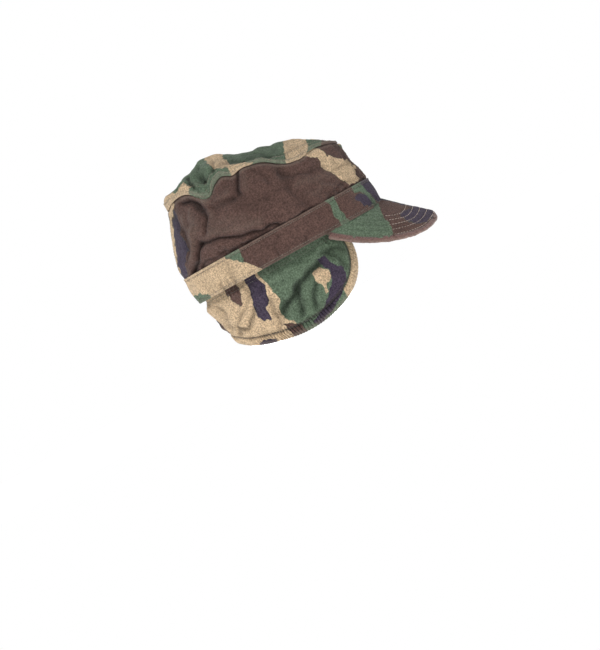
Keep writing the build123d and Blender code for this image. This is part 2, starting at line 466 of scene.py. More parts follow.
def contour(grid, field, level):
    # the line on a grid where the field passes a level, one point for each column
    rows, cols = field.shape
    above = field > level
    cross = above[:-1] != above[1:]
    i = np.where(cross.any(0), cross.argmax(0), rows - 2)
    j = np.arange(cols)
    a, b = field[i, j], field[i + 1, j]
    t = np.clip((level - a) / np.where(abs(b - a) < 1e-6, 1e-6, b - a), 0, 1)
    line = grid[i, j] + (grid[i + 1, j] - grid[i, j]) * t[:, None]
    return line[cross.any(0)]


# stitch rows, gathered while the pieces are made
stitchRows = {"band": [], "seam": [], "visor": [], "flap": [], "flapTop": [], "flapInside": []}


# the band, which the crown is tucked into

band = {
    "cloth": 1.1,
    "columns": 760,
    "rows": 40,
    "forward": 1.5,
    "lean": 2.6,  # the lower edge stands this far forward of the upper one
    "blotches": [
        ("tan", [(-112, 34), (-57, 34), (-57, 26), (-47, 19), (-39, 13), (-29, -3), (-112, -3)]),
        ("green", [(-57, 34), (-40, 34), (-41, 14), (-47, 19), (-57, 26)]),
        ("green", [(-110, 12), (-99, 8), (-96, 10), (-92, 5), (-88, 3), (-88, -4), (-110, -4)]),
        ("green", [(54, 33), (66, 33), (64, 20), (66, 10), (68, -4), (59, -4), (57, 12), (58, 22)]),
        ("green", [(85, 34), (96, 34), (98, 18), (103, -4), (96, -4), (95, 12), (92, 20), (86, 21)]),
        ("navy", [(83, 15), (86, 19), (92, 18), (96, 12), (97, 4), (93, 2), (88, 6)]),
        ("navy", [(95, 34), (110, 34), (112, 1), (103, 1), (100, 12), (97, 20)]),
    ],
    "folds": [
        ([(-72, -2), (-73, 6), (-71, 12)], 1.8, 1.2),
        ([(-60, 0), (-61, 8)], 1.6, 0.7),
        ([(-31, -2), (-30, 8), (-32, 15)], 1.8, 0.8),
        ([(-9, -2), (-7, 8), (-9, 14)], 1.6, 1.1),
        ([(2, 0), (3, 10)], 1.5, 0.8),
        ([(20, 8), (28, 12), (37, 10)], 2.0, 0.8),
        ([(30, 20), (40, 22), (50, 17)], 2.2, 0.8),
        ([(44, 0), (46, 8)], 1.5, 0.8),
        ([(-20, 20), (-8, 18), (6, 21)], 2.8, 0.6),
    ],
}


def bandPush(grid):
    # how far the band's layers dent in together
    z, side = grid[..., 2], smooth(4, -4, grid[..., 1])
    push = foldDepth(grid, band["folds"]) * side + foldDepth(grid, leftFolds(band["folds"])) * (1 - side)
    push += ripple(grid * (1, 1, 0.4), 38, 41) * 0.45 + ripple(grid * (1, 1, 0.4), 12, 42) * 0.35
    push += 0.4 * ripple(grid * (1, 1, 0.2), 7, 43) * bell(z - 3, 6)
    return push


# crown sides

crown = {
    "cloth": 0.9,
    "low": 24,  # the sides start inside the band, at this height
    "columns": 420,
    "rows": 100,
    "back": [(24, -102.6), (28, -102.8), (31, -103.7), (36, -104.7), (51, -102), (66, -97), (78, -92),
             (91, -87), (96, -86), (109, -81)],
    "front": [(24, 102.2), (28, 102.8), (31, 104.2), (36, 103.2), (51, 99.6), (66, 97.4), (74, 96), (90, 94)],
    "width": [(24, 83.8), (28, 84.2), (31, 85.9), (40, 87.0), (58, 87.2), (75, 84.4), (90, 80.2), (104, 76)],
    "seamRight": [(-88, 95), (-82, 99), (-74, 102), (-66, 102), (-54, 96), (-46, 89), (-39, 88), (-31, 95),
                  (-22, 99), (-11, 95), (1, 96.5), (11, 95), (24, 91), (33, 85), (43, 79.5), (56, 77.5),
                  (71, 80), (86, 78), (96, 74.5)],
    "seamLeft": [(-88, 95), (-72, 100), (-50, 97), (-30, 94), (-8, 96), (16, 92), (38, 84), (58, 80),
                 (78, 79), (96, 74.5)],
    "folds": [
        ([(-92, 28), (-82, 40), (-71, 51)], 2.4, 3.0),
        ([(-71, 51), (-52, 46), (-36, 40), (-12, 33), (4, 30)], 2.4, 2.5),
        ([(-62, 56), (-46, 52), (-30, 46), (-10, 41)], 5.0, -1.8),
        ([(-80, 33), (-50, 32), (-19, 28)], 2.2, 1.6),
        ([(-68, 96), (-61, 91), (-55, 86)], 2.6, 3.2),
        ([(-55, 86), (-54, 78), (-56, 68), (-62, 58)], 3.0, 2.6),
        ([(-64, 84), (-66, 72), (-72, 62)], 3.4, -1.6),
        ([(-46, 90), (-47, 80), (-49, 68)], 3.2, -1.5),
        ([(-42, 86), (-36, 78), (-22, 74)], 2.4, 1.2),
        ([(-70, 66), (-76, 54), (-87, 42), (-97, 29)], 3.2, -2.2),
        ([(-54, 82), (-44, 76), (-30, 73), (-12, 74)], 3.6, 1.4),
        ([(-50, 88), (-40, 80), (-24, 80)], 4.0, -1.5),
        ([(-84, 88), (-82, 70), (-86, 52), (-93, 34)], 3.0, 2.0),
        ([(-76, 84), (-74, 66), (-80, 52)], 4.0, -1.6),
        ([(-4, 95), (-9, 85), (-12, 77)], 2.2, 2.8),
        ([(2, 94), (-2, 84), (-5, 76)], 3.4, -1.2),
        ([(6, 94), (12, 84), (16, 72)], 3.0, 1.2),
        ([(30, 76), (36, 70), (40, 64), (52, 61), (72, 60)], 2.4, 1.1),
        ([(38, 55), (54, 53), (70, 50)], 4.0, -1.4),
        ([(30, 84), (34, 66), (32, 50), (38, 36)], 4.5, 1.0),
        ([(77, 53), (86, 51), (95, 52)], 1.5, 0.7),
        ([(84, 60), (86, 51), (83, 42)], 1.5, 0.7),
        ([(60, 30), (76, 37), (92, 33)], 2.4, 1.2),
        ([(48, 40), (62, 44), (76, 34)], 3.2, -1.0),
        ([(-20, 62), (6, 58), (30, 60)], 7.0, 0.8),
        ([(-60, 62), (-40, 60), (-20, 54)], 6.0, -1.0),
        ([(92, 74), (97, 62), (98, 46), (101, 30)], 2.2, 1.2),
    ],
    "blotches": [
        ("tan", [(56, 78), (66, 84), (74, 79), (80, 69), (87, 61), (97, 55), (100, 42), (97, 30), (86, 30),
                 (80, 41), (73, 52), (70, 61), (70, 70), (61, 76)]),
        ("tan", [(-95, 100), (-84, 92), (-87, 84), (-92, 72), (-97, 58), (-101, 46), (-103, 36), (-116, 36)]),
        ("green", [(-95, 102), (-83, 98), (-86, 92), (-88, 84), (-93, 84)]),
        ("navy", [(-79, 93), (-79, 84), (-84, 72), (-86, 60), (-86, 52), (-93, 46), (-97, 36), (-99, 27),
                  (-104, 27), (-102, 44), (-97, 58), (-92, 71), (-86, 85)]),
        ("tan", [(-80, 106), (-76, 98), (-84, 88), (-92, 90)]),
    ],
}


def ringHalf(z):
    # the crown's front, back and half width at a height
    return curve(crown["front"], z), curve(crown["back"], z), curve(crown["width"], z)


def crownRing(angle, z):
    front, back, half = ringHalf(z)
    return np.stack([(front + back) / 2 + (front - back) / 2 * np.cos(angle), half * np.sin(angle), z], -1)


def seamHeight(angle):
    # the seam's height depends on how far forward it is, which depends a little on its height
    x = 5 + 91 * np.cos(angle)
    side = smooth(-0.12, 0.12, np.sin(angle))
    return curve(crown["seamRight"], x) * (1 - side) + curve(crown["seamLeft"], x) * side


def leftFolds(folds):
    # the far side isn't a mirror image: the same kinds of folds, moved along
    return [([(-(x * 0.8) + 8, z * 0.9 + 4) for x, z in line], w * 1.1, d * 0.8) for line, w, d in folds]


def crownPush(grid, z, top):
    # how far the side panels dent in: drawn folds, then smaller unevenness at the seam and the band
    left = smooth(-3, 3, grid[..., 1])
    folds = foldDepth(grid, crown["folds"]) * (1 - left) + foldDepth(grid, leftFolds(crown["folds"])) * left
    room = smooth(24, 33, z) * smooth(0, 3.5, top - z)
    calm = 1 - 0.8 * bell(grid[..., 1], 24) * smooth(-30, -60, grid[..., 0])  # the back stays fairly even
    room = room * calm
    push = folds * room
    push += (ripple(grid, 46, 5) * 0.7 + ripple(grid, 17, 8) * 0.5 + ripple(grid, 7, 9) * 0.12) * room
    push += 0.5 * ripple(grid * (1, 1, 0.25), 9, 12) * bell(top - z, 9) * smooth(0, 2, top - z)
    push += 0.5 * ripple(grid * (1, 1, 0.3), 8, 14) * bell(z - 30, 7) * smooth(24, 29, z)
    return push + 1.5 * bell(top - z, 1.8) + bandPush(grid) * smooth(32, 27, z)


def crownSide(side):
    sign = 1 if side == "left" else -1
    start, end = (0, math.pi) if sign > 0 else (-math.pi, 0)
    angle = np.linspace(start, end, crown["columns"])[None, :].repeat(crown["rows"], 0)
    climb = np.linspace(0, 1, crown["rows"])[:, None]
    top = seamHeight(angle)
    z = crown["low"] + (top - crown["low"]) * climb
    grid = crownRing(angle, z)
    normal = normalsOf(grid, False)
    normal[:, 0] = (1, 0, 0.1) if sign > 0 else (-1, 0, 0.25)
    normal[:, -1] = (-1, 0, 0.25) if sign > 0 else (1, 0, 0.1)
    normal = unit(normal)
    push = crownPush(grid, z, top)
    closed = bell(grid[..., 1], 1.6)  # the seams up the front and the back stand in a little
    push += 0.7 * closed
    outer = grid - normal * push[..., None]
    inner = outer - normal * crown["cloth"]
    drawn = foldDepth(grid, crown["folds"] if sign < 0 else leftFolds(crown["folds"]))
    # painted shade in the drawn folds, a painted shadow line where the crown goes in behind the band's top
    # edge, and painted shade just under the seam
    crease = np.clip(drawn / 3.6, 0, 0.85) + 0.8 * bell(z - 28, 1.6) + 0.45 * bell(top - z, 1.4)
    # paler along the seam, and a painted highlight on the fold ridges
    wear = 0.5 * bell(top - z - 2.5, 1.5) + np.clip(-drawn / 9, 0, 0.25)
    hand = np.zeros_like(z) + (1 if sign < 0 else 0)
    fields = inkFields(printed(grid, "brown", crown["blotches"], 101, hand))
    fields.update(crease=np.clip(crease, 0, 1), wear=wear)
    name = "crownSide" + side.capitalize()
    obj = shell(name, outer, inner, camouflage, False, fields)
    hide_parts("crown_side_" + side)
    return obj, outer + normal * 0.2, top - z


crownSideRight, rightGrid, rightDrop = crownSide("right")
crownSideLeft, leftGrid, leftDrop = crownSide("left")
print("crown sides made")


# crown top

topPanel = {
    "cloth": 0.9,
    "columns": 480,
    "rows": 98,
    "ridge": [(-88, 96), (-85.5, 103), (-82, 108.5), (-76, 110.5), (-66, 113), (-55, 118), (-47, 118.6),
              (-34, 122), (-26, 120.6), (-14, 118), (11, 110.5), (26, 107), (51, 99), (69, 92),
              (86, 81.6), (96, 74.5)],
    "stripWidth": 7.0,
    "folds": [
        ([(-51, 118), (-52, 104), (-53, 92)], 4.0, 4.2),
        ([(-39, 121), (-38, 112), (-39, 102)], 2.8, 3.2),
        ([(-45, 116), (-45, 100), (-44, 90)], 3.4, -1.6),
        ([(-66, 112), (-68, 104), (-64, 98)], 3.0, 1.6),
        ([(-22, 119), (-25, 108), (-23, 99)], 3.4, 2.0),
        ([(-8, 113), (2, 104), (14, 98)], 3.4, 1.8),
        ([(12, 108), (26, 98), (32, 88)], 4.5, 2.2),
        ([(34, 102), (40, 92), (44, 82)], 3.4, 1.3),
        ([(62, 94), (70, 86), (74, 80)], 3.0, 1.2),
        ([(-80, 108), (-76, 102), (-80, 96)], 2.4, 1.4),
        ([(-12, 98), (4, 100), (20, 96)], 3.0, 1.0),
    ],
    "blotches": [
        ("tan", [(-96, 88), (-86, 104), (-81, 111), (-71, 109), (-68, 101), (-76, 97), (-84, 92)]),
        ("tan", [(-74, 103), (-66, 108), (-57, 112), (-53, 106), (-58, 99), (-66, 98)]),
        ("tan", [(-28, 122), (-14, 121), (-8, 112), (-9, 104), (-17, 105), (-25, 111)]),
        ("tan", [(-12, 106), (-4, 105), (6, 99), (13, 95), (-2, 92), (-12, 95)]),
        ("tan", [(50, 104), (72, 94), (67, 83), (58, 72), (40, 76), (43, 86)]),
        ("brown", [(84, 86), (97, 80), (104, 68), (90, 66), (78, 76)]),
    ],
}


def crownTop():
    angle = np.linspace(0, 2 * math.pi, topPanel["columns"], endpoint=False)
    seam = crownRing(angle, seamHeight(angle))
    centre = np.array([5.0, 0.0])
    out = 1 - np.linspace(0, 1, topPanel["rows"]) ** 1.35  # from the seam to the middle, closer at the seam
    flat = centre + (seam[None, :, :2] - centre) * out[:, None, None]
    x, y = flat[..., 0], flat[..., 1]
    limit = np.interp(x, *np.array(sorted(zip(seam[:, 0], abs(seam[:, 1])))).T)
    cross = np.clip(abs(y) / np.maximum(limit, 1), 0, 1)
    side = smooth(-20, 20, y)
    edge = curve(crown["seamRight"], x) * (1 - side)
    edge = edge + curve(crown["seamLeft"], x) * side
    rim = np.tile(seam[:, 2], (topPanel["rows"], 1))
    edge = edge * (1 - out[:, None] ** 6) + rim * out[:, None] ** 6
    ridge = curve(topPanel["ridge"], x)
    puff = (1 - cross ** 2.6) ** (1 / 1.7)
    z = edge + np.maximum(ridge - edge, 0) * puff
    grid = np.stack([x, y, z], -1)
    normal = normalsOf(grid, True)
    normal[-1] = (0, 0, 1)
    fromSeam = (1 - out[:, None]) * np.linalg.norm(seam[:, :2] - centre, axis=1)[None, :]
    folds = foldDepth(grid, topPanel["folds"]) * smooth(-2, -16, y)
    folds += foldDepth(grid, leftFolds(topPanel["folds"])) * smooth(2, 16, y) * 0.9
    room = smooth(0, 7, fromSeam)
    push = folds * room + (ripple(grid, 52, 31) * 1.3 + ripple(grid, 21, 32) * 0.5) * smooth(0, 14, fromSeam)
    push += 0.35 * ripple(grid, 8, 33) * bell(fromSeam - 10, 8)
    width = topPanel["stripWidth"]
    strip = smooth(width + 0.8, width, fromSeam)  # the felled seam stands proud
    push -= 0.8 * strip * smooth(0, 0.8, fromSeam)
    for row in (1.6, 6.0):
        push += 0.35 * bell(fromSeam - row, 0.6)
    outer = grid - normal * push[..., None]
    inner = outer - normal * topPanel["cloth"]
    # painted shade where folds push the cloth in, and a painted shadow line beside the felled strip's edge
    crease = np.clip((push - 0.3) / 4.2, 0, 1) + 0.5 * bell(fromSeam - topPanel["stripWidth"] - 0.9, 0.8)
    # paler along the seam and along the felled strip's edge
    wear = 0.75 * bell(fromSeam - 0.6, 1.2) + 0.3 * bell(fromSeam - topPanel["stripWidth"], 0.9)
    fields = inkFields(printed(grid, "green", topPanel["blotches"], 141, smooth(22, -2, y)))
    fields.update(crease=np.clip(crease, 0, 1), wear=wear)
    obj = shell("crownTopPanel", outer, inner, camouflage, True, fields)
    return obj, outer + normal * 0.25, fromSeam


def closePole(obj):
    # the innermost ring has no width, so its points are merged into one
    bm = bmesh.new()
    bm.from_mesh(obj.data)
    bmesh.ops.remove_doubles(bm, verts=bm.verts, dist=0.004 * mm)
    loose = [e for e in bm.edges if not e.link_faces]
    bmesh.ops.delete(bm, geom=loose, context="EDGES")
    bmesh.ops.delete(bm, geom=[v for v in bm.verts if not v.link_faces], context="VERTS")
    bm.to_mesh(obj.data)
    bm.free()


crownTopPanel, topGrid, fromSeam = crownTop()
closePole(crownTopPanel)
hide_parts("crown_top")
print("crown top made")


# band, interlining, sweatband and label

def bandGrid(inset, low, high, columns, levels):
    angle = np.linspace(0, 2 * math.pi, columns, endpoint=False)[None, :].repeat(levels, 0)
    z = np.linspace(low, high, levels)[:, None].repeat(columns, 1)
    shift = band["lean"] * (0.5 - z / bandHigh)
    x = (bandHalfX - inset) * np.cos(angle) + shift
    return np.stack([x + band["forward"], (bandHalfY - inset) * np.sin(angle), z], -1)


def outerBand():
    grid = bandGrid(0.2, bandLow, bandHigh, band["columns"], band["rows"])
    z = grid[..., 2]
    normal = normalsOf(grid, True)
    push = bandPush(grid) - 0.5 * np.sin(math.pi * np.clip(z / bandHigh, 0, 1))
    for row in (2.4, bandHigh - 2.4):
        push += 0.4 * bell(z - row, 0.8)
    outer = grid - normal * push[..., None]
    inner = outer - normal * band["cloth"]
    # painted shade where the band dents in, and painted shade along its lower edge
    crease = np.clip(push / 2.6, 0, 1) * 0.8 + 0.35 * bell(z, 1.2)
    # paler along the top edge, partly wear and partly a painted highlight, and worn along the lower edge and
    # the stitch row
    wear = 0.55 * bell(z - bandHigh, 1.4) + 0.5 * bell(z, 1.2) + 0.2 * bell(z - 2.4, 1.2)
    fields = inkFields(printed(grid, "brown", band["blotches"], 181, smooth(9, -3, grid[..., 1])))
    fields.update(crease=np.clip(crease, 0, 1), wear=wear)
    obj = shell("outerBand", outer, inner, camouflage, True, fields)
    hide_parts("outer_band")
    lifted = outer + normal * 0.22
    for row in (2.4, bandHigh - 2.4):
        stitchRows["band"].append((contour(lifted, z, row), True))
    return obj


interliningShape = {"high": 23.4, "cloth": 0.6}
sweatbandShape = {
    "cloth": 1.0,
    "roll": 0.25,  # how far its rolled lower edge swells
    "stitchRow": 3.0,
    "crownSeam": 90.0,  # a seam height well above it, for the crown's folds beside it
    "crownGap": 0.5,
}


def plainRing(name, node, material, thickness, seed, columns=360, levels=14, highest=math.inf, roll=0.0,
              besideCrown=False):
    halfX, _, low, high = cadRing(node)
    high = min(high, highest)
    inset = bandHalfX - halfX
    grid = bandGrid(inset, low, high, columns, levels)
    normal = normalsOf(grid, True)
    z = grid[..., 2]
    push = bandPush(grid * (bandHalfX / halfX, bandHalfX / halfX, 1)) + 0.35 + 0.08 * ripple(grid, 26, seed)
    push += roll * (bell(z - low - sweatbandShape["stitchRow"], 0.9) - bell(z - low, 1.6))
    if besideCrown:  # above the band it stands clear of the crown's folds
        crownIn = crownPush(grid, z, np.full(z.shape, sweatbandShape["crownSeam"]))
        crownIn = crownIn + crown["cloth"] + sweatbandShape["crownGap"]
        ring = crownRing(np.arctan2(grid[..., 1] / bandHalfY, grid[..., 0] / bandHalfX), z)
        gap = np.linalg.norm(grid[..., :2], axis=-1) - np.linalg.norm(ring[..., :2], axis=-1)
        push = np.maximum(push, (gap + crownIn) * smooth(22, 25, z))
    outer = grid - normal * push[..., None]
    inner = outer - normal * thickness
    obj = shell(name, outer, inner, material, True)
    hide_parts(node)
    return obj, inner - normal * 0.15, z


def careLabel():
    # blank woven tape, sewn down inside the sweatband at the back
    low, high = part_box("care_label")
    width, levels, columns = (high.y - low.y) / mm, 22, 46
    reach = math.asin(width / 2 / (bandHalfY - 4))
    angle = np.linspace(math.pi - reach, math.pi + reach, columns)[None, :].repeat(levels, 0)
    z = np.linspace(low.z / mm, high.z / mm, levels)[:, None].repeat(columns, 1)
    inset = bandHalfX + low.x / mm
    shift = band["lean"] * (0.5 - z / bandHigh) + band["forward"]
    grid = np.stack([(bandHalfX - inset) * np.cos(angle) + shift, (bandHalfY - inset) * np.sin(angle), z], -1)
    normal = normalsOf(grid, False)
    push = 0.12 * ripple(grid, 14, 51)
    outer = grid - normal * push[..., None]
    obj = shell("careLabel", outer, outer - normal * 0.4, labelTape, False)
    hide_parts("care_label")
    return obj


outerBandRing = outerBand()
interlining, _, _ = plainRing("bandInterlining", "band_interlining", canvas, interliningShape["cloth"], 61,
                              highest=interliningShape["high"])
sweatRing, sweatInside, sweatZ = plainRing("sweatbandRing", "sweatband", liningCloth, sweatbandShape["cloth"],
                                           64, 520, 30, roll=sweatbandShape["roll"], besideCrown=True)
stitchRows["band"].append((contour(sweatInside, sweatZ, sweatZ.min() + sweatbandShape["stitchRow"]), True))
label = careLabel()
for level in (0.9, 5.3):  # two stitch rows along the top panel's felled seam
    stitchRows["seam"].append((contour(topGrid, fromSeam, level), True))
for grid, drop in ((rightGrid, rightDrop), (leftGrid, leftDrop)):
    for column in (3, -4):  # the seams up the front and the back
        stitchRows["seam"].append((grid[6:-3, column], False))
print("band made")


# visor

visor = {
    "slope": 42.0,
    "arch": 94.5,
    "crest": 4.2,  # the middle stands this much higher than a plain arch
    "columns": 300,
    "rows": 60,
    "outline": [(-43.5, 80.4), (12.6, 73.2), (47.7, 52.4), (57.5, 0.0)],  # down the slope and across
    "cloth": 0.9,
    "thick": 2.7,
    "binding": 3.9,
    "rootHalf": 79.8,  # half the width along the band
    "boardInset": 6.0,
    "boardStart": 7.0,
    "boardDepths": (1.0, 1.7),
    "firstRow": 5.6,
    "rowSpacing": 6.9,
    "rowCount": 5,
    "blotches": [
        ("green", [(30, 12), (104, 6), (100, -4), (99, -14), (101, -24), (99, -31), (92, -38), (60, -22),
                   (30, 4)]),
        ("navy", [(114, -20), (118, -16), (124, -19), (131, -18), (127, -11), (122, -4), (128, -4),
                  (152, -30), (148, -38), (128, -37), (121, -31), (117, -27)]),
        ("navy", [(102, 12), (116, 10), (156, -26), (150, -37), (146.5, -33), (126, -14.8), (109, 1),
                  (103, 4)]),
    ],
}


def visorDrop(y):
    # how far the arch hangs below its crest
    arch = visor["arch"] - np.sqrt(np.maximum(visor["arch"] ** 2 - y**2, 1))
    return arch, visor["crest"] * bell(y, 34)


def visorAttach(y, inset=0.4):
    slope = math.radians(visor["slope"])
    arch, crest = visorDrop(y)
    reach = (bandHalfX - inset) * np.sqrt(np.maximum(1 - (y / (bandHalfY - inset)) ** 2, 0))
    return (reach + band["forward"] - 0.8 - bandHalfX + (arch - crest) * math.sin(slope)) / math.cos(slope)


def visorPoint(s, y, depth=0.0):
    # s runs down the slope from the band, y across; depth goes down through the layers
    slope = math.radians(visor["slope"])
    arch, crest = visorDrop(y)
    root = visorAttach(y)
    rootHeight = -root * math.sin(slope) - (arch - crest) * math.cos(slope)
    turnUp = np.maximum(1.4 - rootHeight, 0) * np.exp(-np.maximum(s - root, 0) / 12)  # into the band's seam
    drop = arch - crest * smooth(58.5, 51, s) + depth
    x = bandHalfX + s * math.cos(slope) - drop * math.sin(slope)
    return np.stack([x, y, turnUp - s * math.sin(slope) - drop * math.cos(slope)], -1)


def visorOutline(count):
    # evenly spaced points round the free edge, from the wearer's right to the left
    half = visor["outline"]
    ring = np.array([(s, -y) for s, y in half] + [(s, y) for s, y in half[-2::-1]], float)
    t = np.concatenate([[0], np.cumsum(np.linalg.norm(np.diff(ring, axis=0), axis=1))])
    fine = np.linspace(0, t[-1], 900)
    line = np.stack([spline(t, ring[:, 0], fine), spline(t, ring[:, 1], fine)], -1)
    run = np.concatenate([[0], np.cumsum(np.linalg.norm(np.diff(line, axis=0), axis=1))])
    even = np.linspace(0, run[-1], count)
    return np.stack([np.interp(even, run, line[:, 0]), np.interp(even, run, line[:, 1])], -1)


def inwardOf(edge):
    # unit directions across the free edge, towards the middle of the band
    along = np.gradient(edge, axis=0)
    inward = unit(np.stack([-along[:, 1], along[:, 0]], -1))
    return inward * np.sign((-edge * inward).sum(-1, keepdims=True) + 1e-9)


def visorPlan(columns, levels, inset, start=0.0):
    # a flat grid of (s, y) from the band, or start beyond it, out to the free edge, less an inset
    edge = visorOutline(columns)
    edge = edge + inwardOf(edge) * inset
    edge[:, 0] = np.maximum(edge[:, 0], visorAttach(edge[:, 1]) + start + 0.5)
    y = np.linspace(-1, 1, columns) * (visor["rootHalf"] - 1.6 * (inset - 1.6))
    root = np.stack([visorAttach(y) + start, y], -1)
    t = np.linspace(0, 1, levels)[:, None, None]
    return root + (edge - root) * t


def visorParts():
    columns, levels = visor["columns"], visor["rows"]
    plan = visorPlan(columns, levels, 1.6)
    edge = visorOutline(900)
    surface = visorPoint(plan[..., 0], plan[..., 1])
    fromEdge = toLine(surface, visorPoint(*edge[::6].T))
    normal = -normalsOf(surface, False)
    if normal[..., 2].mean() < 0:
        normal = -normal
    levelsOf = [visor["firstRow"] + i * visor["rowSpacing"] for i in range(visor["rowCount"])]
    push = 0.25 * ripple(surface, 30, 91) + 0.12 * ripple(surface, 9, 92)
    for level in levelsOf:
        push += 0.42 * bell(fromEdge - level, 0.8)
    upper = surface - normal * push[..., None]
    # painted shade beside the binding and along the stitch rows, and a painted shadow at the root under the
    # band
    crease = np.zeros(fromEdge.shape) + 0.4 * bell(fromEdge - visor["binding"], 0.7)
    for level in levelsOf:
        crease += 0.22 * bell(fromEdge - level, 0.8)
    crease += 0.5 * bell(plan[..., 0] - visorAttach(plan[..., 1]), 2.0)
    wear = 0.2 * bell(fromEdge - visor["binding"] - 1, 1.5)
    share = smooth(8, -6, plan[..., 1])
    fields = inkFields(printed(upper, "brown", visor["blotches"], 221, share))
    fields.update(crease=crease, wear=wear)
    upperCover = shell("visorUpperCover", upper, upper - normal * visor["cloth"], camouflage, False, fields)
    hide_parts("visor_upper_cover")
    for level in levelsOf:
        sunk = 0.50 * smooth(98, 104, upper[..., 0]) - 0.33  # the thread lies deeper towards the sides
        lifted = upper + normal * sunk[..., None]
        stitchRows["visor"].append((contour(lifted[2:], fromEdge[2:], level)[6:-6], False))
    depth = visor["thick"] - visor["cloth"]
    lowerSkin = surface - normal * (depth + push * 0.3)[..., None]
    fields = inkFields(blotches(lowerSkin, 261))
    lowerFace = lowerSkin - normal * visor["cloth"]
    lowerCover = shell("visorLowerCover", lowerFace, lowerSkin, camouflage, False, fields)
    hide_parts("visor_lower_cover")
    plan = visorPlan(120, 20, visor["boardInset"], visor["boardStart"])
    s, y = plan[..., 0], plan[..., 1]
    steep = 1 / np.sqrt(1 - (y / visor["arch"]) ** 2)  # keeps the depth square to the arch at the sides
    upperSide, underside = (visorPoint(s, y, depth * steep) for depth in visor["boardDepths"])
    stiff = shell("visorBoard", upperSide, underside, board, False)
    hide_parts("visor_board")
    return upperCover, lowerCover, stiff


def visorBinding():
    # a folded tape round the free edge: up over the top, round the edge and back under
    columns = 420
    edge = visorOutline(columns)
    inward = inwardOf(edge)
    stretch = 1 / np.sqrt(1 - (edge[:, 1:] / visor["arch"]) ** 2)
    inward /= np.linalg.norm(inward * np.concatenate([np.ones_like(stretch), stretch], 1), axis=1)[:, None]
    half, thick = visor["thick"] / 2 + 0.42, visor["thick"]
    turn = np.linspace(-math.pi / 2, math.pi / 2, 17)
    path = [(visor["binding"] - 0.7 * i, thick / 2 - half + 0.15 * bell(i, 1.0)) for i in range(3)]
    path += [(half * 0.9 * (1 - math.cos(t)), thick / 2 + half * math.sin(t)) for t in turn]
    path += [(visor["binding"] - 0.7 * i, thick / 2 + half - 0.15 * bell(i, 1.0)) for i in (2, 1, 0)]
    skin = []
    for inset, depth in path:
        p = edge + inward * inset
        skin.append(visorPoint(p[:, 0], p[:, 1], depth))
    outer = np.array(skin)
    normal = normalsOf(outer, False)
    middle = visorPoint(*(edge + inward * 4).T, thick / 2)
    if ((outer[10] - middle) * normal[10]).sum() < 0:
        normal = -normal
    push = 0.12 * ripple(outer, 5, 94) + 0.15 * ripple(outer, 14, 95) - 0.2
    outer = outer - normal * push[..., None]
    inner = outer - normal * 0.7
    cross = np.abs(np.linspace(-1, 1, len(path)))[:, None].repeat(columns, 1)
    # painted shade along the binding's inner edges, where it meets the cover; the middle of the fold is paler
    # with wear
    fields = {"crease": 0.35 * bell(cross - 1, 0.1), "wear": 0.8 * bell(cross, 0.3)}
    obj = shell("visorBinding", outer, inner, bindingCloth, False, fields)
    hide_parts("visor_binding")
    return obj


bindingCloth = plainCloth("bindingTwill", (0.150, 0.078, 0.066), 0.0010, 0.00026)
visorUpperCover, visorLowerCover, visorBoard = visorParts()
visorBindingTape = visorBinding()
print("visor made")


# ear flap

